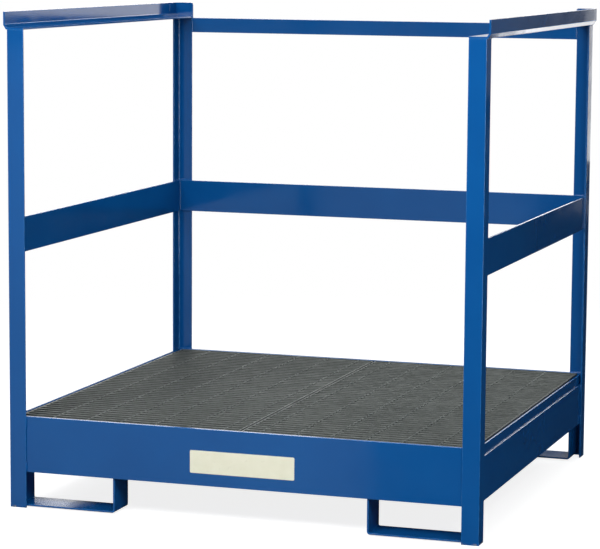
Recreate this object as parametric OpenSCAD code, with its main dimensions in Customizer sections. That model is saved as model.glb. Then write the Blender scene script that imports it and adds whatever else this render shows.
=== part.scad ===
// Spill containment pallet for four drums: a welded steel sump with a lift-out grating deck,
// fork-lift feet, corner posts, guard rails and stacking rails.
// Frame: X to the right, Y to the back, Z up. The origin is on the floor, below the middle.
// All sizes are in millimetres.

/* [Overall] */
// Width over the corner posts
frame_w = 1394; // [1200:2:1800]
// Depth over the corner posts
frame_d = 1320; // [1100:2:1800]
// Height of the corner posts
post_h = 1372; // [1100:2:1800]

/* [Corner posts] */
// Width of each leg of a corner post's angle section
post_leg = 50; // [40:1:75]
// Thickness of the corner post's angle section
post_t = 5; // [4:0.5:10]

/* [Sump] */
// Height of the sump's rim above the floor
rim_z = 267; // [230:1:400]
// Fork clearance: height of the front and rear panels' lower edges above the floor
fork_clearance = 105; // [80:1:130]
// Thickness of the front and rear panels
panel_t = 5; // [3:0.5:8]
// Thickness of the side walls
wall_t = 4; // [3:0.5:8]
// Thickness of the floor plate
floor_t = 4; // [3:0.5:8]
// Height of the floor plate's underside above the panels' lower edges
floor_lift = 6; // [0:1:12]
// Distance from the rim down to the side walls' upper edges
wall_drop = 30; // [10:1:32]

/* [Grating ledge] */
// Width of each leg of the ledge angle that carries the deck
ledge_leg = 38; // [34:1:50]
// Thickness of the ledge angle
ledge_t = 5; // [3:0.5:6]

/* [Bearers] */
// Width of each channel that carries the deck across the sump
bearer_w = 60; // [40:1:90]
// Thickness of the bearer channels
bearer_t = 4; // [3:0.5:6]
// Distance of the outer bearers from the middle
bearer_pitch = 345; // [250:5:420]
// Radius of the drain notches along the bearers' feet
notch_r = 20; // [10:1:25]
// Drain notches in each bearer
notch_count = 5; // [2:1:8]

/* [Grating] */
// Depth of the grating's bearing bars
bar_h = 32; // [25:1:32]
// Thickness of the bearing bars
bar_t = 5; // [3:0.5:6]
// Wanted spacing of the bearing bars
bar_pitch = 30; // [25:1:60]
// Side of the square cross rods
rod_w = 6; // [5:0.5:8]
// Wanted spacing of the cross rods
rod_pitch = 102; // [50:1:120]
// Space between a grating panel's ends and the ledge
grating_end_gap = 8; // [3:0.5:15]
// Space between a grating panel's sides and the ledge
grating_side_gap = 4; // [2:0.5:15]
// Space between the two grating panels
grating_split = 6; // [3:0.5:15]
// Running gap between the grating and what it rests on
rest_gap = 0.3; // [0.1:0.1:0.5]

/* [Feet] */
// Thickness of the bent strap of each foot
foot_t = 5; // [4:0.5:8]
// Depth of each foot, front to back
foot_d = 100; // [60:1:160]
// Width of each foot, which is the fork opening plus two thicknesses
foot_w = 300; // [220:1:400]
// Distance from the sump's outer wall face to the foot
foot_inset = 16; // [0:1:40]
// Height of the strap's underside above the floor
foot_lift = 4; // [0:1:10]
// Outer radius of the strap's bends
foot_bend_r = 9; // [6:1:16]

/* [Guard rails] */
// Height of the guard rails' lower edges above the floor
guard_z = 732; // [550:1:850]
// Width of the guard rails' flat bars
guard_h = 102; // [60:1:150]
// Thickness of the guard rails
guard_t = 5; // [4:0.5:8]
// Width of the flat bar between the tops of the rear posts
tie_h = 47; // [30:1:80]

/* [Stacking rails] */
// Thickness of the stacking rails
rail_t = 5; // [4:0.5:6]
// How far a stacking rail's seat reaches past the post's outer face
seat_over = 3; // [0:0.5:6]
// How far the rail's slope leans outward
slope_run = 8; // [5:0.5:14]
// Height of the rail's slope
slope_rise = 13; // [8:0.5:20]
// Height of the rail's lip above the tops of the posts
lip_top = 50; // [35:1:80]
// Length of the rear stop's leg along the rail
stop_leg = 64; // [40:1:80]
// How far the rear stop's other leg reaches past the post, onto the bar between the posts
stop_over = 3; // [0.5:0.5:20]
// Radius of the stop's free upper corner
stop_corner_r = 8; // [3:1:15]

/* [Label plate] */
// Width of the blank label plate
label_w = 310; // [100:5:500]
// Height of the blank label plate
label_h = 65; // [30:1:90]
// Thickness of the blank label plate
label_t = 1; // [0.5:0.1:2]
// Height of the label's middle above the floor
label_z = 173; // [150:1:220]
// Distance of the label's middle to the right of the middle of the pallet
label_x = 11; // [-50:1:50]

/* [Hidden] */
$fn = 64;

enamel = [0.10, 0.33, 0.60];
zinc = [0.50, 0.53, 0.52];
cream = [0.85, 0.84, 0.76];

// Sump: its outside fits inside the corner posts
sump_w = frame_w - 2 * post_t;
sump_d = frame_d - 2 * post_t;
bay_w = sump_w - 2 * wall_t;
bay_d = sump_d - 2 * panel_t;
floor_z = fork_clearance + floor_lift;
floor_top = floor_z + floor_t;
wall_top = rim_z - wall_drop;
ledge_seat = rim_z - ledge_leg + ledge_t;

// Grating: two panels, side by side, between the upstands of the ledges
grating_z = ledge_seat + rest_gap;
grating_top = grating_z + bar_h;
grating_end = bay_w / 2 - ledge_t - grating_end_gap;
grating_start = grating_split / 2;
grating_len = grating_end - grating_start;
grating_d = bay_d - 2 * ledge_t - 2 * grating_side_gap;
bar_gaps = round((grating_d - bar_t) / bar_pitch);
bar_step = (grating_d - bar_t) / bar_gaps;
rod_gaps = max(1, round((grating_len - 1.5 * rod_pitch) / rod_pitch));
rod_step = (grating_len - 1.5 * rod_pitch) / rod_gaps;

// Stacking rail: a flat seat, a slope and an upright lip, bent from one plate
seat_in = frame_w / 2 - post_leg;
seat_out = frame_w / 2 + seat_over;
lip_out = seat_out + slope_run;
lip_in = lip_out - rail_t;
seat_top = post_h + rail_t;
slope_angle = atan2(slope_rise, slope_run);
slope_foot_x = seat_out - rail_t * tan(slope_angle / 2);
lip_foot_z = post_h + slope_rise + rail_t * tan((90 - slope_angle) / 2);
rail_top = post_h + lip_top;
stop_in = seat_in - stop_over;
stop_start = frame_d / 2 - stop_leg;

overlap = 1; // how far a cutting shape runs past the face that it cuts

// Draws its children on the right (side = 1) or mirrors them to the left (side = -1)
module on_side(side) {
    mirror([side < 0 ? 1 : 0, 0, 0]) children();
}

// Draws its children at the back (end = 1) or mirrors them to the front (end = -1)
module on_end(end) {
    mirror([0, end < 0 ? 1 : 0, 0]) children();
}

// Extrudes an outline drawn in X and Z along Y, centred on y = 0
module along_y(length) {
    translate([0, length / 2, 0]) rotate([90, 0, 0]) linear_extrude(height = length) children();
}

// An angle section with its heel at the origin and its legs along -X and +Y of the outline
module ledge_outline() {
    translate([-ledge_leg, 0]) square([ledge_leg, ledge_t]);
    translate([-ledge_t, 0]) square([ledge_t, ledge_leg]);
}

// Corner post: an angle section, wrapped round the sump's corner
module post(side, end) {
    color(enamel)
    on_side(side) on_end(end)
    linear_extrude(height = post_h)
    difference() {
        translate([frame_w / 2 - post_leg, frame_d / 2 - post_leg]) square(post_leg);
        translate([frame_w / 2 - post_leg - overlap, frame_d / 2 - post_leg - overlap])
            square(post_leg - post_t + overlap);
    }
}

module sump_floor() {
    color(enamel)
    translate([-bay_w / 2, -bay_d / 2, floor_z]) cube([bay_w, bay_d, floor_t]);
}

// Front or rear panel, over the sump's whole width
module sump_panel(end) {
    color(enamel)
    on_end(end)
    translate([-sump_w / 2, bay_d / 2, fork_clearance])
        cube([sump_w, panel_t, rim_z - fork_clearance]);
}

// Side wall, between the panels. It ends below the rim, where the ledge rises
module sump_wall(side) {
    color(enamel)
    on_side(side)
    translate([bay_w / 2, -bay_d / 2, floor_z]) cube([wall_t, bay_d, wall_top - floor_z]);
}

// Ledge angle along a side of the sump, with mitred ends
module side_ledge(side) {
    color(enamel)
    on_side(side)
    intersection() {
        translate([bay_w / 2, 0, ledge_seat - ledge_t]) along_y(bay_d) ledge_outline();
        mitre(bay_w / 2, bay_d / 2, ledge_leg);
    }
}

// Ledge angle along the front or the rear of the sump, with mitred ends
module end_ledge(end) {
    color(enamel)
    rotate([0, 0, end * 90])
    intersection() {
        translate([bay_d / 2, 0, ledge_seat - ledge_t]) along_y(bay_w) ledge_outline();
        mitre(bay_d / 2, bay_w / 2, ledge_leg);
    }
}

// Block whose ends are cut at 45 degrees: reach is the far face in X, half is half its length
module mitre(reach, half, depth) {
    linear_extrude(height = rim_z)
    polygon([
        [reach, -half],
        [reach, half],
        [reach - depth, half - depth],
        [reach - depth, -half + depth]
    ]);
}

// Bearer: a channel with its legs down, standing on the floor plate, notched for drainage
module bearer(x) {
    bearer_len = bay_d - 2 * ledge_leg;
    bearer_h = ledge_seat - floor_top;
    notch_step = bearer_len / notch_count;
    color(enamel)
    translate([x, 0, floor_top])
    difference() {
        along_y(bearer_len)
        difference() {
            translate([-bearer_w / 2, 0]) square([bearer_w, bearer_h]);
            translate([-bearer_w / 2 + bearer_t, -overlap])
                square([bearer_w - 2 * bearer_t, bearer_h - bearer_t + overlap]);
        }
        for (i = [0 : notch_count - 1])
            translate([0, (i - (notch_count - 1) / 2) * notch_step, 0])
            rotate([0, 90, 0])
            cylinder(h = bearer_w + 2 * overlap, r = notch_r, center = true);
    }
}

// Grating panel: bearing bars along X, a band across each end, and cross rods let in flush
module grating(side) {
    color(zinc)
    on_side(side)
    union() {
        for (i = [0 : bar_gaps])
            translate([grating_start, -grating_d / 2 + i * bar_step, grating_z])
            cube([grating_len, bar_t, bar_h]);
        for (x = [grating_start, grating_end - bar_t])
            translate([x, -grating_d / 2, grating_z]) cube([bar_t, grating_d, bar_h]);
        for (i = [0 : rod_gaps])
            translate([grating_end - rod_pitch - i * rod_step - rod_w / 2,
                       -grating_d / 2, grating_top - rod_w])
            cube([rod_w, grating_d, rod_w]);
    }
}

// Outline of the foot in X and Z: a U bent from flat strap, open at the top
module foot_outline() {
    difference() {
        bent_block(foot_w, floor_z - foot_lift, foot_bend_r);
        translate([foot_t, foot_t])
            bent_block(foot_w - 2 * foot_t, floor_z - foot_lift, foot_bend_r - foot_t);
    }
}

// Rectangle whose two lower corners are round
module bent_block(width, height, corner_r) {
    translate([0, corner_r]) square([width, height - corner_r]);
    translate([corner_r, 0]) square([width - 2 * corner_r, height]);
    for (x = [corner_r, width - corner_r])
        translate([x, corner_r]) circle(r = corner_r);
}

// Foot: a bent strap under the floor plate, which a fork passes through
module foot(side, end) {
    color(enamel)
    on_side(side) on_end(end)
    translate([sump_w / 2 - foot_inset - foot_w, bay_d / 2 - foot_d / 2, foot_lift])
        along_y(foot_d) foot_outline();
}

// Guard rail along a side, welded inside the legs of its two posts
module side_guard(side) {
    color(enamel)
    on_side(side)
    translate([sump_w / 2 - guard_t, -sump_d / 2, guard_z]) cube([guard_t, sump_d, guard_h]);
}

// Guard rail across the back, between the side guard rails
module guard_rail_rear() {
    color(enamel)
    translate([-sump_w / 2 + guard_t, sump_d / 2 - guard_t, guard_z])
        cube([sump_w - 2 * guard_t, guard_t, guard_h]);
}

// Flat bar between the edges of the rear posts, flush with their tops
module top_tie_rear() {
    color(enamel)
    translate([-seat_in, frame_d / 2 - post_t, post_h - tie_h])
        cube([2 * seat_in, post_t, tie_h]);
}

// Stacking rail on the tops of two posts, up to the rear stop, which also takes over its lip
module stacking_rail(side) {
    color(enamel)
    on_side(side)
    difference() {
        translate([0, -rail_t / 2, 0]) along_y(frame_d - rail_t)
        polygon([
            [seat_in, post_h],
            [seat_out, post_h],
            [lip_out, post_h + slope_rise],
            [lip_out, rail_top],
            [lip_in, rail_top],
            [lip_in, lip_foot_z],
            [slope_foot_x, seat_top],
            [seat_in, seat_top]
        ]);
        translate([lip_in - overlap, stop_start, lip_foot_z])
            cube([rail_t + 2 * overlap, stop_leg + overlap, rail_top]);
    }
}

// Rear stop: an angle that closes the end of the stacking rail and stands on the rear post
module stacking_stop(side) {
    color(enamel)
    on_side(side) {
        translate([0, frame_d / 2 - rail_t / 2, 0]) along_y(rail_t) stop_outline();
        translate([lip_in, stop_start, lip_foot_z])
            cube([rail_t, stop_leg, rail_top - lip_foot_z]);
    }
}

// The stop's rear leg, which follows the rail's outline and has its free upper corner rounded
module stop_outline() {
    corner_x = stop_in + stop_corner_r;
    corner_z = rail_top - stop_corner_r;
    polygon([
        [stop_in, post_h],
        [seat_out, post_h],
        [lip_out, post_h + slope_rise],
        [lip_out, rail_top],
        [corner_x, rail_top],
        [corner_x, corner_z],
        [stop_in, corner_z]
    ]);
    translate([corner_x, corner_z]) circle(r = stop_corner_r);
}

// Blank plate on the front panel
module label_plate() {
    color(cream)
    translate([label_x - label_w / 2, -sump_d / 2 - label_t, label_z - label_h / 2])
        cube([label_w, label_t, label_h]);
}

post(-1, -1);  // post_front_left
post(1, -1);  // post_front_right
post(-1, 1);  // post_rear_left
post(1, 1);  // post_rear_right
sump_floor();
sump_panel(-1);  // sump_front_panel
sump_panel(1);  // sump_rear_panel
sump_wall(-1);  // sump_wall_left
sump_wall(1);  // sump_wall_right
side_ledge(-1);  // ledge_left
side_ledge(1);  // ledge_right
end_ledge(-1);  // ledge_front
end_ledge(1);  // ledge_rear
bearer(-bearer_pitch);  // bearer_left
bearer(0);  // bearer_middle
bearer(bearer_pitch);  // bearer_right
grating(-1);  // grating_left
grating(1);  // grating_right
foot(-1, -1);  // foot_front_left
foot(1, -1);  // foot_front_right
foot(-1, 1);  // foot_rear_left
foot(1, 1);  // foot_rear_right
side_guard(-1);  // guard_rail_left
side_guard(1);  // guard_rail_right
guard_rail_rear();
top_tie_rear();
stacking_rail(-1);  // stacking_rail_left
stacking_rail(1);  // stacking_rail_right
stacking_stop(-1);  // stacking_stop_left
stacking_stop(1);  // stacking_stop_right
label_plate();
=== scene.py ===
import math

import bmesh
import bpy
from mathutils import Matrix, Vector


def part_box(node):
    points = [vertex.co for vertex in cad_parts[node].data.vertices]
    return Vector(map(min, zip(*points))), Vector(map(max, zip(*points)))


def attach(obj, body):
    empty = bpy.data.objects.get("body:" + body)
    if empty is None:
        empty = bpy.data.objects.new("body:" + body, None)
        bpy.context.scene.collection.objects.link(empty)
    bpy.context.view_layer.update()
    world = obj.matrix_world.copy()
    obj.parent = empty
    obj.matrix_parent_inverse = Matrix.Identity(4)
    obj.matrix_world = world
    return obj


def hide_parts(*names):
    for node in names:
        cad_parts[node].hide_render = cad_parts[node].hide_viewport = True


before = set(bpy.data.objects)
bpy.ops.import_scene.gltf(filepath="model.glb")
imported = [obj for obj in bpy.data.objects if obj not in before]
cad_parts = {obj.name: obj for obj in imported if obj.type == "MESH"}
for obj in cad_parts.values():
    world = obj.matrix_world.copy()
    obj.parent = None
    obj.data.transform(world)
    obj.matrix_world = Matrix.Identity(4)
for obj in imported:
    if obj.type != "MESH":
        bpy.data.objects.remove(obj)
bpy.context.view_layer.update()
print("frame loaded:", len(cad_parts), "CAD pieces")


def addNode(tree, kind, inputs=None, **settings):
    made = tree.nodes.new(kind)
    for key, value in settings.items():
        setattr(made, key, value)
    for key, value in (inputs or {}).items():
        socket = made.inputs[key]
        if isinstance(value, bpy.types.NodeSocket):
            tree.links.new(value, socket)
        else:
            socket.default_value = value
    return made


studioCamera = {
    "place": (2.3809, -7.1671, 1.6201),
    "azimuth": 18.685,  # degrees round to the right from straight in front
    "elevation": 7.476,
    "roll": 0.399,
    "lens": 151.7,
    "sensor": 36.0,
    "clipEnd": 200.0,
}


def addCamera(facts):
    azimuth, elevation, roll = (math.radians(facts[k]) for k in ("azimuth", "elevation", "roll"))
    level = math.cos(elevation)
    back = Vector((math.sin(azimuth) * level, -math.cos(azimuth) * level, math.sin(elevation)))
    across = Vector((math.cos(azimuth), math.sin(azimuth), 0.0))
    upright = back.cross(across)
    right = across * math.cos(roll) + upright * math.sin(roll)
    up = upright * math.cos(roll) - across * math.sin(roll)
    data = bpy.data.cameras.new("studioCamera")
    data.sensor_width = facts["sensor"]
    data.lens = facts["lens"]
    data.clip_end = facts["clipEnd"]
    camera = bpy.data.objects.new("studioCamera", data)
    turn = Matrix((right, up, back)).transposed().to_4x4()
    camera.matrix_world = Matrix.Translation(facts["place"]) @ turn
    bpy.context.collection.objects.link(camera)
    bpy.context.scene.camera = camera


studioFloor = {
    "radius": 4.4,
    "sides": 96,
    "fadeFrom": 1.2,  # where the floor starts to melt into the white backdrop
    "fadeTo": 4.2,
    "colour": (0.46, 0.46, 0.455),
    "grainScale": 1.3,
    "grainShade": 0.97,  # how dark the darkest grain is beside the colour
    "lift": 0.84,  # brightness added for the camera alone
}


def addFloor(facts):
    mat = bpy.data.materials.new("paleFloor")
    mat.use_nodes = True
    tree = mat.node_tree
    tree.nodes.clear()
    place = addNode(tree, "ShaderNodeTexCoord").outputs["Object"]
    grain = addNode(tree, "ShaderNodeTexNoise", {
        "Vector": place,
        "Scale": facts["grainScale"],
        "Detail": 3.0,
    })
    tint = addNode(tree, "ShaderNodeValToRGB", {"Fac": grain.outputs["Fac"]})
    low = tuple(c * facts["grainShade"] for c in facts["colour"])
    tint.color_ramp.elements[0].color = (*low, 1.0)
    tint.color_ramp.elements[1].color = (*facts["colour"], 1.0)
    paper = addNode(tree, "ShaderNodeBsdfDiffuse", {"Color": tint.outputs["Color"]})
    reach = addNode(tree, "ShaderNodeVectorMath", {0: place}, operation="LENGTH")
    fade = addNode(tree, "ShaderNodeMapRange", {
        "Value": reach.outputs["Value"],
        "From Min": facts["fadeFrom"],
        "From Max": facts["fadeTo"],
    }, interpolation_type="SMOOTHSTEP")
    seen = addNode(tree, "ShaderNodeLightPath").outputs["Is Camera Ray"]
    lift = addNode(tree, "ShaderNodeMath", {0: seen, 1: facts["lift"]}, operation="MULTIPLY")
    glow = addNode(tree, "ShaderNodeEmission", {"Strength": lift.outputs[0]})
    pale = addNode(tree, "ShaderNodeAddShader", {0: paper.outputs[0], 1: glow.outputs[0]})
    clear = addNode(tree, "ShaderNodeBsdfTransparent")
    mixed = addNode(tree, "ShaderNodeMixShader", {
        0: fade.outputs["Result"],
        1: pale.outputs[0],
        2: clear.outputs[0],
    })
    addNode(tree, "ShaderNodeOutputMaterial", {"Surface": mixed.outputs[0]})
    mesh = bpy.data.meshes.new("studioFloor")
    bm = bmesh.new()
    bmesh.ops.create_circle(bm, cap_ends=True, segments=facts["sides"], radius=facts["radius"])
    bm.to_mesh(mesh)
    bm.free()
    mesh.materials.append(mat)
    floor = bpy.data.objects.new("studioFloor", mesh)
    bpy.context.collection.objects.link(floor)
    floor.visible_glossy = False  # the paint mirrors the dim studio, not the paper


# place, point aimed at, width and height in metres, power in watts
softLights = {
    "keyFront": ((-0.3, -2.6, 2.25), (0.0, -0.6, 0.6), 2.6, 1.0, 64.0),
    "fillFrontRight": ((2.0, -1.9, 1.6), (0.6, -0.5, 0.9), 0.8, 0.8, 17.0),
    "overhead": ((-0.75, 0.1, 3.6), (-0.4, 0.0, 0.0), 2.6, 3.0, 34.0),
    "softBackLeft": ((-2.6, 4.4, 2.4), (0.0, 0.4, 0.6), 2.4, 2.0, 60.0),
}

# the same for cards that only show as reflections in the gloss
glossCards = {
    "cardFrontLeft": ((-1.4, -3.4, 0.245), (-1.4, 0.0, 0.245), 1.9, 1.89, 4.5),
    "cardBackMiddle": ((0.42, 2.5, 1.3), (0.2, 0.0, 1.3), 0.95, 0.5, 2.5),
    "cardBackRight": ((1.38, 2.5, 1.28), (1.2, 0.0, 1.2), 0.5, 0.5, 0.08),
    "cardBackSlope": ((0.95, 3.5, 0.67), (0.95, 0.0, 0.67), 0.5, 0.4, 1.2),
    "cardBackCorner": ((0.867, 1.5, 1.145), (0.867, 0.0, 1.145), 0.053, 0.55, 0.17),
    "cardBackLow": ((-1.8, 5.5, 1.5), (-1.8, 0.0, 1.5), 3.2, 0.8, 7.0),
    "cardBackEdge": ((1.5, 5.5, 1.85), (1.5, 0.0, 1.85), 1.2, 0.8, 22.0),
    "sideRight": ((3.6, 0.0, 1.1), (0.6, -0.3, 0.9), 0.9, 2.2, 55.0),
    "sideLeft": ((-3.9, -0.5, 1.2), (-0.6, -0.5, 0.9), 1.4, 2.2, 60.0),
}

# lamps that the gloss doesn't mirror
fillLights = {
    "backFill": ((0.9, 3.6, 2.0), (0.0, 0.6, 0.6), 2.2, 1.8, 55.0),
}


def addLight(name, place, aim, width, height, power, gloss=True, diffuse=True):
    data = bpy.data.lights.new(name, "AREA")
    data.shape = "RECTANGLE"
    data.size = width
    data.size_y = height
    data.energy = power
    lamp = bpy.data.objects.new(name, data)
    look = (Vector(aim) - Vector(place)).to_track_quat("-Z", "Y")
    lamp.matrix_world = Matrix.Translation(place) @ look.to_matrix().to_4x4()
    lamp.visible_camera = False
    lamp.visible_glossy = gloss
    lamp.visible_diffuse = diffuse
    bpy.context.collection.objects.link(lamp)


studioWorld = {
    "backdrop": 1.0,
    "front": 0.06,
    "back": 0.012,
    "top": 0.30,
    "frontToBack": (-0.9, 0.5),  # where the front's brightness ends and the back's begins
    "topFade": (0.25, 0.95),  # heights between which the light from above sets in
    "tint": (0.95, 0.98, 1.0, 1.0),
}


# A white backdrop for the camera, and for light and gloss a dim studio, brightest in front and above
def addWorld(facts):
    world = bpy.data.worlds.new("softStudio")
    world.use_nodes = True
    tree = world.node_tree
    tree.nodes.clear()
    ray = addNode(tree, "ShaderNodeTexCoord").outputs["Generated"]
    parts = addNode(tree, "ShaderNodeSeparateXYZ", {0: ray})
    across = addNode(tree, "ShaderNodeMapRange", {
        "Value": parts.outputs["Y"],
        "From Min": facts["frontToBack"][0],
        "From Max": facts["frontToBack"][1],
        "To Min": facts["front"],
        "To Max": facts["back"],
    }, interpolation_type="SMOOTHSTEP")
    above = addNode(tree, "ShaderNodeMapRange", {
        "Value": parts.outputs["Z"],
        "From Min": facts["topFade"][0],
        "From Max": facts["topFade"][1],
        "To Min": 0.0,
        "To Max": facts["top"],
    }, interpolation_type="SMOOTHSTEP")
    total = addNode(tree, "ShaderNodeMath", {0: across.outputs[0], 1: above.outputs[0]})
    dim = addNode(tree, "ShaderNodeBackground", {"Color": facts["tint"], "Strength": total.outputs[0]})
    white = addNode(tree, "ShaderNodeBackground", {"Strength": facts["backdrop"]})
    white.inputs["Color"].default_value = (1.0, 1.0, 1.0, 1.0)
    seen = addNode(tree, "ShaderNodeLightPath").outputs["Is Camera Ray"]
    mixed = addNode(tree, "ShaderNodeMixShader", {0: seen, 1: dim.outputs[0], 2: white.outputs[0]})
    addNode(tree, "ShaderNodeOutputWorld", {"Surface": mixed.outputs[0]})
    bpy.context.scene.world = world


addCamera(studioCamera)
addFloor(studioFloor)
addWorld(studioWorld)
for lightName, lightFacts in softLights.items():
    addLight(lightName, *lightFacts)
for lightName, lightFacts in glossCards.items():
    addLight(lightName, *lightFacts, diffuse=False)
for lightName, lightFacts in fillLights.items():
    addLight(lightName, *lightFacts, gloss=False)
bpy.context.scene.view_settings.view_transform = "Standard"
print("studio ready:", len(softLights) + len(fillLights), "soft lights,", len(glossCards), "cards")


def colourRamp(tree, fac, stops):
    ramp = addNode(tree, "ShaderNodeValToRGB", {"Fac": fac})
    marks = ramp.color_ramp.elements
    while len(marks) < len(stops):
        marks.new(0.5)
    for mark, (at, colour) in zip(marks, stops):
        mark.position = at
        mark.color = (*colour, 1.0) if len(colour) == 3 else colour
    return ramp.outputs["Color"]


def noiseAt(tree, place, spacing, detail=2.0, roughness=0.5):
    made = addNode(tree, "ShaderNodeTexNoise", {
        "Vector": place,
        "Scale": 1.0 / spacing,
        "Detail": detail,
        "Roughness": roughness,
    })
    return made.outputs["Fac"]


def spread(tree, value, low, high, fromLow=0.3, fromHigh=0.7):
    made = addNode(tree, "ShaderNodeMapRange", {
        "Value": value,
        "From Min": fromLow,
        "From Max": fromHigh,
        "To Min": low,
        "To Max": high,
    })
    return made.outputs["Result"]


# The Mix node's sockets 0, 6 and 7 are the factor and the two colours, and output 2 the mixed colour
def mixColour(tree, fac, first, second):
    made = addNode(tree, "ShaderNodeMix", data_type="RGBA")
    for socket, value in zip((made.inputs[0], made.inputs[6], made.inputs[7]), (fac, first, second)):
        if isinstance(value, bpy.types.NodeSocket):
            tree.links.new(value, socket)
        else:
            socket.default_value = (*value, 1.0) if isinstance(value, tuple) else value
    return made.outputs[2]


def startMaterial(name):
    mat = bpy.data.materials.new(name)
    mat.use_nodes = True
    tree = mat.node_tree
    tree.nodes.clear()
    shader = addNode(tree, "ShaderNodeBsdfPrincipled")
    addNode(tree, "ShaderNodeOutputMaterial", {"Surface": shader.outputs[0]})
    place = addNode(tree, "ShaderNodeTexCoord").outputs["Object"]
    return mat, tree, shader, place


glossEnamel = {
    "colour": (0.0032, 0.096, 0.335),
    "deepColour": (0.0022, 0.084, 0.305),
    "cloudSize": 0.22,  # patches of the two colours
    "edgeColour": (0.030, 0.19, 0.50),  # lighter blue on the rounded edges: thinner paint there, and a painted highlight along them
    "edgePatch": 0.018,
    "roughness": (0.07, 0.16),
    "smearSize": 0.09,
    "peelSize": 0.0024,  # orange peel: spacing and depth of the dimples
    "peelDepth": 0.000006,
    "sheetWave": 0.26,  # slow waves that welding leaves in thin sheet
    "waveDepth": 0.00045,
    "nibSpacing": 0.035,  # specks of dust in the paint
    "nibWidth": 0.022,  # share of the spacing
    "nibHeight": 0.00015,
    "scuffHeight": 0.007,  # how far up the feet are rubbed to the steel
    "scuffPatch": 0.012,
    "scuffRoughness": 0.35,  # added where the steel shows
    "steel": (0.30, 0.30, 0.29),
    "ior": 1.5,
}


def makeEnamel(name, facts, onEdge=False):
    mat, tree, shader, place = startMaterial(name)
    cloud = noiseAt(tree, place, facts["cloudSize"], 4.0)
    paint = colourRamp(tree, cloud, [(0.30, facts["deepColour"]), (0.68, facts["colour"])])
    if onEdge:
        # painted highlight: the rounded edges turn lighter blue in patches, where the paint is also
        # thinner
        edgeHighlightMix = noiseAt(tree, place, facts["edgePatch"], 3.0)
        paint = mixColour(tree, spread(tree, edgeHighlightMix, 0.15, 0.95), paint, facts["edgeColour"])
    # steel shows through on the undersides that slide on floors and forks
    height = addNode(tree, "ShaderNodeSeparateXYZ", {0: place}).outputs["Z"]
    low = spread(tree, height, 1.0, 0.0, facts["scuffHeight"] * 0.3, facts["scuffHeight"])
    rub = spread(tree, noiseAt(tree, place, facts["scuffPatch"], 5.0, 0.65), 0.0, 1.0, 0.50, 0.56)
    scuff = addNode(tree, "ShaderNodeMath", {0: low, 1: rub}, operation="MULTIPLY", use_clamp=True)
    tree.links.new(mixColour(tree, scuff.outputs[0], paint, facts["steel"]), shader.inputs["Base Color"])
    smear = noiseAt(tree, place, facts["smearSize"], 5.0, 0.6)
    gloss = spread(tree, smear, *facts["roughness"])
    rough = addNode(tree, "ShaderNodeMath", {
        0: scuff.outputs[0],
        1: facts["scuffRoughness"],
        2: gloss,
    }, operation="MULTIPLY_ADD")
    tree.links.new(rough.outputs[0], shader.inputs["Roughness"])
    shader.inputs["IOR"].default_value = facts["ior"]
    wave = addNode(tree, "ShaderNodeBump", {
        "Height": noiseAt(tree, place, facts["sheetWave"], 1.0),
        "Distance": facts["waveDepth"],
        "Strength": 1.0,
    })
    peel = addNode(tree, "ShaderNodeBump", {
        "Height": noiseAt(tree, place, facts["peelSize"], 1.0),
        "Distance": facts["peelDepth"],
        "Strength": 1.0,
        "Normal": wave.outputs[0],
    })
    nibs = addNode(tree, "ShaderNodeTexVoronoi", {"Vector": place, "Scale": 1.0 / facts["nibSpacing"]})
    speck = spread(tree, nibs.outputs["Distance"], 1.0, 0.0, 0.0, facts["nibWidth"])
    dust = addNode(tree, "ShaderNodeBump", {
        "Height": speck,
        "Distance": facts["nibHeight"],
        "Strength": 1.0,
        "Normal": peel.outputs[0],
    })
    tree.links.new(dust.outputs[0], shader.inputs["Normal"])
    return mat


dullZinc = {
    "light": (0.062, 0.070, 0.066),
    "dark": (0.020, 0.024, 0.022),
    "spangle": 0.011,  # size of the zinc's crystals
    "spangleShare": 0.45,
    "stainSize": 0.06,
    "worn": (0.17, 0.19, 0.18),  # painted highlight on the top faces
    "wornDepth": (0.004, 0.002),  # below the top: where the painted highlight starts and where it is full
    "wornPatch": 0.035,
    "grime": (0.012, 0.014, 0.012),  # painted shade, darkest low in the grating
    "grimeDepth": 0.016,
    "roughness": (0.34, 0.58),
    "metallic": 0.5,
    "gritSize": 0.0016,
    "gritDepth": 0.00006,
}


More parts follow.
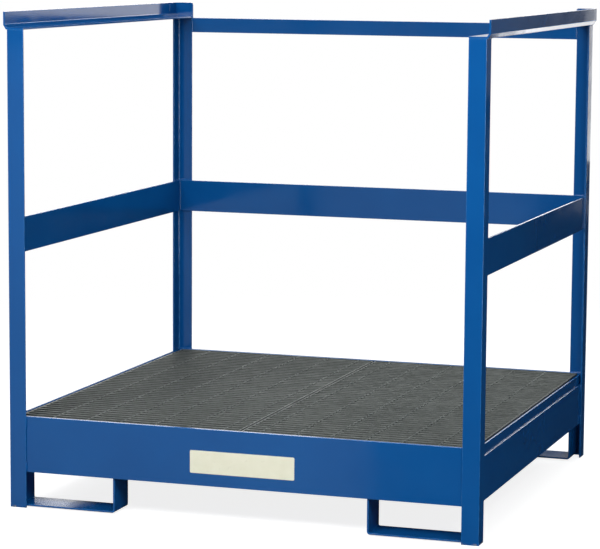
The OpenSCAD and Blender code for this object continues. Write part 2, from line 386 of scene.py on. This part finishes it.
# top: height of the grating's upper side
def makeZinc(name, facts, top):
    mat, tree, shader, place = startMaterial(name)
    cells = addNode(tree, "ShaderNodeTexVoronoi", {"Vector": place, "Scale": 1.0 / facts["spangle"]})
    flake = addNode(tree, "ShaderNodeSeparateColor", {0: cells.outputs["Color"]}).outputs[0]
    stain = noiseAt(tree, place, facts["stainSize"], 5.0, 0.65)
    blend = addNode(tree, "ShaderNodeMath", {
        0: flake,
        1: facts["spangleShare"],
        2: stain,
    }, operation="MULTIPLY_ADD")
    skin = colourRamp(tree, blend.outputs[0], [(0.35, facts["dark"]), (0.95, facts["light"])])
    height = addNode(tree, "ShaderNodeSeparateXYZ", {0: place}).outputs["Z"]
    # painted shade: darker from the top down into the grating
    depth = spread(tree, height, 0.0, 1.0, top - facts["grimeDepth"], top)
    skin = mixColour(tree, depth, facts["grime"], skin)
    # painted highlight: faces that look upward near the top are lighter, in patches
    litFrom, litTo = (top - depth for depth in facts["wornDepth"])
    facing = addNode(tree, "ShaderNodeTexCoord").outputs["Normal"]
    upward = addNode(tree, "ShaderNodeSeparateXYZ", {0: facing}).outputs["Z"]
    litTopMask = addNode(tree, "ShaderNodeMath", {
        0: spread(tree, upward, 0.0, 1.0, 0.35, 0.85),
        1: spread(tree, height, 0.0, 1.0, litFrom, litTo),
    }, operation="MULTIPLY").outputs[0]
    patchyLitTop = addNode(tree, "ShaderNodeMath", {
        0: litTopMask,
        1: spread(tree, noiseAt(tree, place, facts["wornPatch"], 4.0), 0.45, 1.0),
    }, operation="MULTIPLY").outputs[0]
    tree.links.new(mixColour(tree, patchyLitTop, skin, facts["worn"]), shader.inputs["Base Color"])
    shader.inputs["Metallic"].default_value = facts["metallic"]
    tree.links.new(spread(tree, stain, *facts["roughness"]), shader.inputs["Roughness"])
    grit = addNode(tree, "ShaderNodeBump", {
        "Height": noiseAt(tree, place, facts["gritSize"], 3.0),
        "Distance": facts["gritDepth"],
        "Strength": 1.0,
    })
    tree.links.new(grit.outputs[0], shader.inputs["Normal"])
    return mat


creamVinyl = {
    "colour": (0.96, 0.95, 0.77),
    "shade": (0.91, 0.90, 0.71),
    "mottleSize": 0.03,
    "roughness": (0.26, 0.42),
    "glossPatch": 0.012,
    "waveSize": 0.004,
    "waveDepth": 0.00003,
}


def makeVinyl(name, facts):
    mat, tree, shader, place = startMaterial(name)
    mottle = noiseAt(tree, place, facts["mottleSize"], 5.0, 0.6)
    film = colourRamp(tree, mottle, [(0.3, facts["shade"]), (0.7, facts["colour"])])
    tree.links.new(film, shader.inputs["Base Color"])
    patch = noiseAt(tree, place, facts["glossPatch"], 4.0)
    tree.links.new(spread(tree, patch, *facts["roughness"]), shader.inputs["Roughness"])
    wave = addNode(tree, "ShaderNodeBump", {
        "Height": noiseAt(tree, place, facts["waveSize"], 2.0),
        "Distance": facts["waveDepth"],
        "Strength": 1.0,
    })
    tree.links.new(wave.outputs[0], shader.inputs["Normal"])
    return mat


blueEnamel = makeEnamel("blueEnamel", glossEnamel)
blueEnamelEdge = makeEnamel("blueEnamelEdge", glossEnamel, onEdge=True)
greyZinc = makeZinc("greyZinc", dullZinc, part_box("grating_left")[1][2])
creamLabel = makeVinyl("creamLabel", creamVinyl)
print("materials ready")


# By the first word of a node's name. edge: cut edges; root: an angle's inner corner; bend: folded corners
steelRounding = {
    "post": {"edge": 0.0013, "root": 0.0040, "bend": 0.0013},
    "sump": {"edge": 0.0010, "root": 0.0010, "bend": 0.0010},
    "ledge": {"edge": 0.0010, "root": 0.0035, "bend": 0.0010},
    "bearer": {"edge": 0.0007, "root": 0.0030, "bend": 0.0007},
    "foot": {"edge": 0.0007, "root": 0.0007, "bend": 0.0007},
    "guard": {"edge": 0.0012, "root": 0.0012, "bend": 0.0012},
    "top": {"edge": 0.0012, "root": 0.0012, "bend": 0.0012},
    "stacking": {"edge": 0.0011, "root": 0.0030, "bend": 0.0055},
}


# Degrees between two faces. Under flat they are one face, under bend the edge stays sharp, and under
# corner it is a bend
steelAngles = {"flat": 0.2, "bend": 20.0, "corner": 75.0}


def finishPiece(made, body, slot, *replaced):
    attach(made, body)
    if replaced:
        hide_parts(*replaced)


# Applies the object's modifiers by making a plain mesh from its evaluated shape
def settle(made):
    shape = bpy.data.meshes.new_from_object(made.evaluated_get(bpy.context.evaluated_depsgraph_get()))
    made.modifiers.clear()
    made.data = shape
    shape.name = made.name


# Rounds the edges and keeps the flats' shading flat
def softenEdges(made, method, width, segments, material=-1):
    rounding = made.modifiers.new("rounding", "BEVEL")
    rounding.limit_method = method
    rounding.width = width
    rounding.segments = segments
    rounding.material = material
    rounding.harden_normals = True
    flats = made.modifiers.new("flats", "WEIGHTED_NORMAL")
    flats.mode = "FACE_AREA"
    flats.weight = 100
    settle(made)


def joinedName(node):
    first, *others = node.split("_")
    return first + "".join(word.capitalize() for word in others)


# The CAD node again, with its edges, roots and bends rounded
def roundedSteel(node, sizes):
    bm = bmesh.new()
    bm.from_mesh(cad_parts[node].data)
    bmesh.ops.remove_doubles(bm, verts=bm.verts, dist=1e-6)
    bmesh.ops.dissolve_limit(
        bm,
        angle_limit=math.radians(steelAngles["flat"]),
        verts=bm.verts,
        edges=bm.edges,
        use_dissolve_boundaries=False,
    )
    largest = max(sizes.values())
    weights = bm.edges.layers.float.new("bevel_weight_edge")
    for edge in bm.edges:
        if len(edge.link_faces) != 2:
            continue
        turn = edge.calc_face_angle_signed(0.0)
        if abs(turn) < math.radians(steelAngles["bend"]):
            continue
        if abs(turn) < math.radians(steelAngles["corner"]):
            kind = "bend"
        elif turn < 0:
            kind = "root"
        else:
            kind = "edge"
        edge[weights] = sizes[kind] / largest
    for face in bm.faces:
        face.smooth = True
    mesh = bpy.data.meshes.new(joinedName(node))
    bm.to_mesh(mesh)
    bm.free()
    # the CAD mesh's own normals would bend the light on the new flats
    if "custom_normal" in mesh.attributes:
        mesh.attributes.remove(mesh.attributes["custom_normal"])
    mesh.materials.append(blueEnamel)
    mesh.materials.append(blueEnamelEdge)
    made = bpy.data.objects.new(joinedName(node), mesh)
    bpy.context.collection.objects.link(made)
    # the rounded faces take the second slot, the lighter edge enamel that carries a painted highlight
    softenEdges(made, "WEIGHT", largest, 3, material=1)
    finishPiece(made, "frame", "blue_enamel", node)


steelNodes = [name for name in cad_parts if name.split("_")[0] in steelRounding]
for name in steelNodes:
    roundedSteel(name, steelRounding[name.split("_")[0]])
print("steel pieces:", len(steelNodes))


def startTree(name, inputs):
    tree = bpy.data.node_groups.new(name, "GeometryNodeTree")
    for title, kind in inputs:
        tree.interface.new_socket(title, in_out="INPUT", socket_type=kind)
    tree.interface.new_socket("Geometry", in_out="OUTPUT", socket_type="NodeSocketGeometry")
    return tree, tree.nodes.new("NodeGroupInput").outputs


def endTree(tree, geometry, material):
    real = addNode(tree, "GeometryNodeRealizeInstances", {"Geometry": geometry})
    painted = addNode(tree, "GeometryNodeSetMaterial", {
        "Geometry": real.outputs[0],
        "Material": material,
    })
    addNode(tree, "NodeGroupOutput", {"Geometry": painted.outputs[0]})


def runTree(name, tree, values, mesh=None):
    made = bpy.data.objects.new(name, mesh or bpy.data.meshes.new(name))
    bpy.context.collection.objects.link(made)
    modifier = made.modifiers.new("nodes", "NODES")
    modifier.node_group = tree
    for item in tree.interface.items_tree:
        if item.in_out == "INPUT" and item.name in values:
            modifier[item.identifier] = values[item.name]
    settle(made)
    return made


def mathNode(tree, operation, first, second=0.0, third=0.0):
    made = addNode(tree, "ShaderNodeMath", {0: first, 1: second, 2: third}, operation=operation)
    return made.outputs[0]


def vectorOf(tree, x, y, z):
    return addNode(tree, "ShaderNodeCombineXYZ", {0: x, 1: y, 2: z}).outputs[0]


gratingFacts = {
    "barThickness": 0.005,
    "barSpacing": 0.030,
    "rodWidth": 0.0062,
    "rodSpacing": 0.102,
    "rodTwist": 0.062,  # length of one full turn of a rod
    "rodSteps": 216,  # points along a rod
    "rodSink": 0.72,  # depth of a rod's middle below the top, as a share of its width
    "rodSoftness": 0.6,  # a rod's rounding as a share of the bars'
    "rounding": 0.0006,
}


# A rounded flat or square bar as a closed sweep along a line
def sweptBar(tree, start, end, width, height, rounding, steps=None, twist=None):
    line = addNode(tree, "GeometryNodeCurvePrimitiveLine", {"Start": start, "End": end}).outputs[0]
    if steps is not None:
        line = addNode(tree, "GeometryNodeResampleCurve", {"Curve": line, "Count": steps}).outputs[0]
        along = addNode(tree, "GeometryNodeSplineParameter").outputs["Length"]
        turned = mathNode(tree, "MULTIPLY", mathNode(tree, "DIVIDE", along, twist), 2 * math.pi)
        line = addNode(tree, "GeometryNodeSetCurveTilt", {"Curve": line, "Tilt": turned}).outputs[0]
    outline = addNode(tree, "GeometryNodeCurvePrimitiveQuadrilateral", {"Width": width, "Height": height})
    soft = addNode(tree, "GeometryNodeFilletCurve", {
        "Curve": outline.outputs[0],
        "Count": 1,
        "Radius": rounding,
    }, mode="POLY")
    sweep = addNode(tree, "GeometryNodeCurveToMesh", {
        "Curve": line,
        "Profile Curve": soft.outputs[0],
        "Fill Caps": True,
    })
    return sweep.outputs[0]


def repeated(tree, shape, count, step):
    points = addNode(tree, "GeometryNodeMeshLine", {"Count": count, "Offset": step})
    return addNode(tree, "GeometryNodeInstanceOnPoints", {
        "Points": points.outputs[0],
        "Instance": shape,
    }).outputs[0]


# Flat bearing bars, an end band across each end of them and twisted square rods
def makeGratingTree(facts):
    tree, given = startTree("gratingPanel", [
        ("Inner End", "NodeSocketFloat"),
        ("Outer End", "NodeSocketFloat"),
        ("Front", "NodeSocketFloat"),
        ("Depth", "NodeSocketFloat"),
        ("Bottom", "NodeSocketFloat"),
        ("Bar Height", "NodeSocketFloat"),
        ("Bar Thickness", "NodeSocketFloat"),
        ("Bar Count", "NodeSocketInt"),
        ("First Rod", "NodeSocketFloat"),
        ("Rod Step", "NodeSocketFloat"),
        ("Rod Count", "NodeSocketInt"),
        ("Rod Width", "NodeSocketFloat"),
        ("Rod Twist", "NodeSocketFloat"),
        ("Rounding", "NodeSocketFloat"),
        ("Finish", "NodeSocketMaterial"),
    ])
    inner, outer = given["Inner End"], given["Outer End"]
    thick, tall, rounding = given["Bar Thickness"], given["Bar Height"], given["Rounding"]
    half = mathNode(tree, "MULTIPLY", thick, 0.5)
    middle = mathNode(tree, "MULTIPLY_ADD", tall, 0.5, given["Bottom"])
    firstBar = mathNode(tree, "ADD", given["Front"], half)
    back = mathNode(tree, "ADD", given["Front"], given["Depth"])
    bar = sweptBar(tree, vectorOf(tree, inner, firstBar, middle), vectorOf(tree, outer, firstBar, middle),
                   thick, tall, rounding)
    gaps = mathNode(tree, "SUBTRACT", given["Bar Count"], 1.0)
    pitch = mathNode(tree, "DIVIDE", mathNode(tree, "SUBTRACT", given["Depth"], thick), gaps)
    bars = repeated(tree, bar, given["Bar Count"], vectorOf(tree, 0.0, pitch, 0.0))
    # the bands lie flush with the bars' ends
    bands = []
    for end, sign in ((inner, 1.0), (outer, -1.0)):
        inward = mathNode(tree, "SIGN", mathNode(tree, "SUBTRACT", outer, inner))
        at = mathNode(tree, "MULTIPLY_ADD", mathNode(tree, "MULTIPLY", inward, sign), half, end)
        bandStart = vectorOf(tree, at, given["Front"], middle)
        bandEnd = vectorOf(tree, at, back, middle)
        bands.append(sweptBar(tree, bandStart, bandEnd, thick, tall, rounding))
    rodMiddle = mathNode(tree, "SUBTRACT", mathNode(tree, "ADD", given["Bottom"], tall),
                         mathNode(tree, "MULTIPLY", given["Rod Width"], facts["rodSink"]))
    rodStart = vectorOf(tree, given["First Rod"], given["Front"], rodMiddle)
    rodEnd = vectorOf(tree, given["First Rod"], back, rodMiddle)
    rodRounding = mathNode(tree, "MULTIPLY", rounding, facts["rodSoftness"])
    rod = sweptBar(tree, rodStart, rodEnd, given["Rod Width"], given["Rod Width"], rodRounding,
                   steps=facts["rodSteps"], twist=given["Rod Twist"])
    rods = repeated(tree, rod, given["Rod Count"], vectorOf(tree, given["Rod Step"], 0.0, 0.0))
    joined = addNode(tree, "GeometryNodeJoinGeometry")
    for part in (bars, *bands, rods):
        tree.links.new(part, joined.inputs[0])
    endTree(tree, joined.outputs[0], given["Finish"])
    return tree


def addGrating(side, tree, facts):
    low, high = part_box("grating_" + side)
    sign = 1.0 if side == "right" else -1.0
    inner, outer = (low[0], high[0]) if side == "right" else (high[0], low[0])
    length, depth = high[0] - low[0], high[1] - low[1]
    # the rods run from one spacing inside the outer end to half a spacing from the other end
    rodRun = length - 1.5 * facts["rodSpacing"]
    rodGaps = max(1, round(rodRun / facts["rodSpacing"]))
    made = runTree(joinedName("grating_" + side), tree, {
        "Inner End": inner,
        "Outer End": outer,
        "Front": low[1],
        "Depth": depth,
        "Bottom": low[2],
        "Bar Height": high[2] - low[2],
        "Bar Thickness": facts["barThickness"],
        "Bar Count": round((depth - facts["barThickness"]) / facts["barSpacing"]) + 1,
        "First Rod": outer - sign * facts["rodSpacing"],
        "Rod Step": -sign * rodRun / rodGaps,
        "Rod Count": rodGaps + 1,
        "Rod Width": facts["rodWidth"],
        "Rod Twist": facts["rodTwist"],
        "Rounding": facts["rounding"],
        "Finish": greyZinc,
    })
    finishPiece(made, "grating_" + side, "galvanised_steel", "grating_" + side)
    return made


gratingTree = makeGratingTree(gratingFacts)
for panelSide in ("left", "right"):
    panel = addGrating(panelSide, gratingTree, gratingFacts)
    print("grating", panelSide, len(panel.data.polygons), "faces")


weldFacts = {
    "ripple": 0.0032,  # spacing of the ripples along a bead
    "rippleDepth": 0.10,  # share of the radius
    "wander": 0.16,  # how much the width drifts, as a share of the radius
    "wanderSize": 0.009,
    "spacing": 0.0011,
    "sides": 10,
    "taper": 0.004,  # length over which a bead's end narrows
    "tip": 0.06,
}

# radius of the bead and seed of its wander
weldRuns = {
    "sumpCornerWelds": (0.0030, 1.0),
    "floorSeamWelds": (0.0028, 3.0),
    "guardRailWelds": (0.0029, 4.0),
    "stackingRailWelds": (0.0026, 5.0),
    "footWelds": (0.0036, 6.0),
    "deckSupportWelds": (0.0026, 7.0),
}


def makeWeldTree(facts):
    tree, given = startTree("weldBeads", [
        ("Paths", "NodeSocketGeometry"),
        ("Radius", "NodeSocketFloat"),
        ("Ripple", "NodeSocketFloat"),
        ("Ripple Depth", "NodeSocketFloat"),
        ("Wander", "NodeSocketFloat"),
        ("Spacing", "NodeSocketFloat"),
        ("Seed", "NodeSocketFloat"),
        ("Finish", "NodeSocketMaterial"),
    ])
    paths = addNode(tree, "GeometryNodeMeshToCurve", {"Mesh": given["Paths"]}).outputs[0]
    paths = addNode(tree, "GeometryNodeResampleCurve", {
        "Curve": paths,
        "Length": given["Spacing"],
    }, mode="LENGTH").outputs[0]
    kept = tree.nodes.new("GeometryNodeCaptureAttribute")
    tree.links.new(paths, kept.inputs["Geometry"])
    kept.capture_items.new("VECTOR", "Core")
    kept.capture_items.new("FLOAT", "Along")
    kept.capture_items.new("FLOAT", "Share")
    spline = addNode(tree, "GeometryNodeSplineParameter").outputs
    core = addNode(tree, "GeometryNodeInputPosition").outputs[0]
    tree.links.new(core, kept.inputs["Core"])
    tree.links.new(spline["Length"], kept.inputs["Along"])
    tree.links.new(spline["Factor"], kept.inputs["Share"])
    ring = addNode(tree, "GeometryNodeCurvePrimitiveCircle", {
        "Resolution": facts["sides"],
        "Radius": given["Radius"],
    })
    tube = addNode(tree, "GeometryNodeCurveToMesh", {
        "Curve": kept.outputs["Geometry"],
        "Profile Curve": ring.outputs[0],
        "Fill Caps": True,
    }).outputs[0]
    core, along, share = (kept.outputs[k] for k in ("Core", "Along", "Share"))
    # sharp-fronted ripples, a slow wander in width, and ends that taper off
    phase = mathNode(tree, "FRACT", mathNode(tree, "DIVIDE", along, given["Ripple"]))
    crest = mathNode(tree, "SINE", mathNode(tree, "MULTIPLY", mathNode(tree, "SQRT", phase), math.pi))
    shifted = addNode(tree, "ShaderNodeVectorMath", {
        0: addNode(tree, "GeometryNodeInputPosition").outputs[0],
        1: vectorOf(tree, given["Seed"], 0.0, 0.0),
    }, operation="ADD").outputs[0]
    drift = noiseAt(tree, shifted, facts["wanderSize"], 2.0)
    swing = mathNode(tree, "MULTIPLY", mathNode(tree, "SUBTRACT", drift, 0.5), given["Wander"])
    fromEnd = mathNode(tree, "MINIMUM", share, mathNode(tree, "SUBTRACT", 1.0, share))
    length = mathNode(tree, "DIVIDE", along, mathNode(tree, "MAXIMUM", share, 0.001))
    toEnd = mathNode(tree, "DIVIDE", mathNode(tree, "MULTIPLY", fromEnd, length), facts["taper"])
    narrowed = mathNode(tree, "MINIMUM", mathNode(tree, "MAXIMUM", toEnd, facts["tip"]), 1.0)
    taper = mathNode(tree, "SQRT", narrowed)
    size = mathNode(tree, "MULTIPLY_ADD", crest, given["Ripple Depth"],
                    mathNode(tree, "ADD", swing, mathNode(tree, "SUBTRACT", 1.0, given["Ripple Depth"])))
    size = mathNode(tree, "MULTIPLY", size, taper)
    here = addNode(tree, "GeometryNodeInputPosition").outputs[0]
    arm = addNode(tree, "ShaderNodeVectorMath", {0: here, 1: core}, operation="SUBTRACT").outputs[0]
    arm = addNode(tree, "ShaderNodeVectorMath", {0: arm, "Scale": size}, operation="SCALE").outputs[0]
    moved = addNode(tree, "ShaderNodeVectorMath", {0: core, 1: arm}, operation="ADD").outputs[0]
    bead = addNode(tree, "GeometryNodeSetPosition", {"Geometry": tube, "Position": moved}).outputs[0]
    bead = addNode(tree, "GeometryNodeSetShadeSmooth", {"Geometry": bead}).outputs[0]
    endTree(tree, bead, given["Finish"])
    return tree


# Each path is the start and end of one bead
def addWelds(name, tree, paths):
    radius, seed = weldRuns[name]
    mesh = bpy.data.meshes.new(name)
    points = [point for path in paths for point in path]
    mesh.from_pydata(points, [(2 * i, 2 * i + 1) for i in range(len(paths))], [])
    made = runTree(name, tree, {
        "Radius": radius,
        "Ripple": weldFacts["ripple"],
        "Ripple Depth": weldFacts["rippleDepth"],
        "Wander": weldFacts["wander"],
        "Spacing": weldFacts["spacing"],
        "Seed": seed,
        "Finish": blueEnamel,
    }, mesh)
    finishPiece(made, "frame", "blue_enamel")
    print(name, len(made.data.polygons), "faces")


# The same short bead at the four corners, in the right rear corner's numbers
def fourCorners(*paths):
    signs = [(sx, sy) for sx in (1, -1) for sy in (1, -1)]
    return [[(sx * x, sy * y, z) for x, y, z in path] for path in paths for sx, sy in signs]


# The same on the left and right, in the right side's numbers
def bothSides(*paths):
    return [[(sx * x, y, z) for x, y, z in path] for path in paths for sx in (1, -1)]


postLow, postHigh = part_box("post_rear_right")
wallLow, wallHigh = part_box("sump_wall_right")
panelLow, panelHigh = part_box("sump_rear_panel")
ledgeLow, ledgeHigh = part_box("ledge_right")
floorLow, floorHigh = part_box("sump_floor")
guardLow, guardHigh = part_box("guard_rail_right")
backRailLow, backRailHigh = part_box("guard_rail_rear")
tieLow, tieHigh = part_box("top_tie_rear")
stopLow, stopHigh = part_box("stacking_stop_right")
footLow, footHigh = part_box("foot_rear_right")

toeX, toeY = postLow[0], postLow[1]  # free edges of a post's two legs
skinX, skinY = wallHigh[0], panelHigh[1]  # outside of the sump, where the posts' legs lie on it
rimZ = panelHigh[2]
wallZ = wallHigh[2]
weldTree = makeWeldTree(weldFacts)
shy = 0.001  # how far a bead stops short of a corner

# short beads along the posts' legs, as long as this down from the top and up from the foot of each sheet
stitchEnds = {"panelTop": 0.034, "panelFoot": 0.030, "wallTop": 0.030, "wallFoot": 0.028}
sumpPaths = fourCorners(
    [(toeX, skinY, rimZ - shy), (toeX, skinY, rimZ - stitchEnds["panelTop"])],
    [(toeX, skinY, panelLow[2] + stitchEnds["panelFoot"]), (toeX, skinY, panelLow[2] + shy)],
    [(skinX, toeY, wallZ - shy), (skinX, toeY, wallZ - stitchEnds["wallTop"])],
    [(skinX, toeY, wallLow[2] + stitchEnds["wallFoot"]), (skinX, toeY, wallLow[2] + shy)],
    [(toeX + 2 * shy, skinY, rimZ), (skinX - 2 * shy, skinY, rimZ)],
    [(skinX - shy, toeY + 2 * shy, wallZ + shy), (skinX - shy, skinY - 2 * shy, wallZ + shy)],
)
addWelds("sumpCornerWelds", weldTree, sumpPaths)

seamX = floorHigh[0] - 4 * shy
underPaths = [[(-seamX, y, floorLow[2]), (seamX, y, floorLow[2])] for y in (floorHigh[1], -floorHigh[1])]
addWelds("floorSeamWelds", weldTree, underPaths)

guardFoot, guardTop = guardLow[2], guardHigh[2]
tieFoot = tieLow[2]
tieY = tieLow[1] + 0.8 * shy
guardPaths = fourCorners(
    [(skinX, toeY, guardTop - shy), (skinX, toeY, guardFoot + shy)],
    [(guardHigh[0], toeY + shy, guardTop), (guardHigh[0], skinY - 6 * shy, guardTop)],
    [(guardHigh[0], toeY + shy, guardFoot), (guardHigh[0], skinY - 6 * shy, guardFoot)],
)
guardPaths += bothSides(
    [(toeX, skinY, guardTop - shy), (toeX, skinY, guardFoot + shy)],
    [(toeX + shy, skinY, guardTop), (backRailHigh[0] - shy, skinY, guardTop)],
    [(toeX + shy, skinY, guardFoot), (backRailHigh[0] - shy, skinY, guardFoot)],
    [(guardLow[0], backRailLow[1], guardTop - shy), (guardLow[0], backRailLow[1], guardFoot + shy)],
    [(tieHigh[0], tieY, tieHigh[2] - 3 * shy), (tieHigh[0], tieY, tieFoot + shy)],
    [(tieHigh[0], tieHigh[1] - 3 * shy, tieFoot), (tieHigh[0], tieLow[1] + shy, tieFoot)],
)
addWelds("guardRailWelds", weldTree, guardPaths)

topZ = postHigh[2]
plate = 0.005  # thickness of the rails, the feet's strap and the ledge angles
stopBeadFoot = 0.018  # height above the posts where the bead down a stop's edge ends
seatZ = stopLow[2] + plate
stopX = stopHigh[0] - plate
stackPaths = fourCorners(
    [(toeX + 4 * shy, skinY, topZ), (skinX - 3 * shy, skinY, topZ)],
    [(skinX, toeY + 3 * shy, topZ), (skinX, skinY - 3 * shy, topZ)],
    [(postHigh[0], toeY + 2 * shy, topZ), (postHigh[0], postHigh[1] - 4 * shy, topZ)],
)
stackPaths += bothSides(
    [(stopLow[0] + 4 * shy, skinY, seatZ), (postHigh[0] - 2 * shy, skinY, seatZ)],
    [(stopX, stopLow[1], stopHigh[2] - 4 * shy), (stopX, stopLow[1], topZ + stopBeadFoot)],
)
addWelds("stackingRailWelds", weldTree, stackPaths)

footPaths = []
for x in (footLow[0], footLow[0] + plate, footHigh[0] - plate, footHigh[0]):
    footPaths += fourCorners(
        [(x, footLow[1] + 3 * shy, floorLow[2]), (x, footHigh[1] - 4 * shy, floorLow[2])],
    )
addWelds("footWelds", weldTree, footPaths)

# stitches along each side of a bearer; the first and last middles lie at margin, a share of its length
bearerStitch = {"count": 6, "length": 0.034, "margin": 0.02}
bearerPaths = []
for bearerNode in ("bearer_left", "bearer_middle", "bearer_right"):
    low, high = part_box(bearerNode)
    span = high[1] - low[1]
    half = bearerStitch["length"] / 2
    for x in (low[0], high[0]):
        for i in range(bearerStitch["count"]):
            share = i / (bearerStitch["count"] - 1) * (1 - 2 * bearerStitch["margin"])
            at = low[1] + span * (share + bearerStitch["margin"])
            start, end = max(low[1], at - half), min(high[1], at + half)
            bearerPaths.append([(x, start, floorHigh[2]), (x, end, floorHigh[2])])
# and one bead down each corner between the ledge angles
cornerX, cornerY = ledgeHigh[0] - plate, floorHigh[1] - plate
bearerPaths += fourCorners(
    [(cornerX, cornerY, ledgeHigh[2] - shy), (cornerX, cornerY, ledgeLow[2] + 7 * shy)],
)
addWelds("deckSupportWelds", weldTree, bearerPaths)


labelFacts = {"corner": 0.004, "edge": 0.00025, "cornerSteps": 6}


# A plain plate with round corners
def addLabel(facts):
    low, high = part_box("label_plate")
    bm = bmesh.new()
    ring = []
    corners = ((high[0], high[2]), (low[0], high[2]), (low[0], low[2]), (high[0], low[2]))
    for quarter, (cx, cz) in enumerate(corners):
        mx = cx - math.copysign(facts["corner"], cx - (low[0] + high[0]) / 2)
        mz = cz - math.copysign(facts["corner"], cz - (low[2] + high[2]) / 2)
        for i in range(facts["cornerSteps"] + 1):
            angle = math.radians(90 * quarter + 90 * i / facts["cornerSteps"])
            at = (mx + facts["corner"] * math.cos(angle), high[1], mz + facts["corner"] * math.sin(angle))
            ring.append(bm.verts.new(at))
    sheet = bm.faces.new(ring)
    raised = bmesh.ops.extrude_face_region(bm, geom=[sheet])["geom"]
    front = [v for v in raised if isinstance(v, bmesh.types.BMVert)]
    bmesh.ops.translate(bm, verts=front, vec=(0.0, low[1] - high[1], 0.0))
    bmesh.ops.recalc_face_normals(bm, faces=bm.faces)
    for face in bm.faces:
        face.smooth = True
    mesh = bpy.data.meshes.new("blankLabel")
    bm.to_mesh(mesh)
    bm.free()
    mesh.materials.append(creamLabel)
    made = bpy.data.objects.new("blankLabel", mesh)
    bpy.context.collection.objects.link(made)
    softenEdges(made, "ANGLE", facts["edge"], 2)
    finishPiece(made, "frame", "label_plate", "label_plate")


addLabel(labelFacts)
print("blank label ready")

bpy.context.view_layer.update()
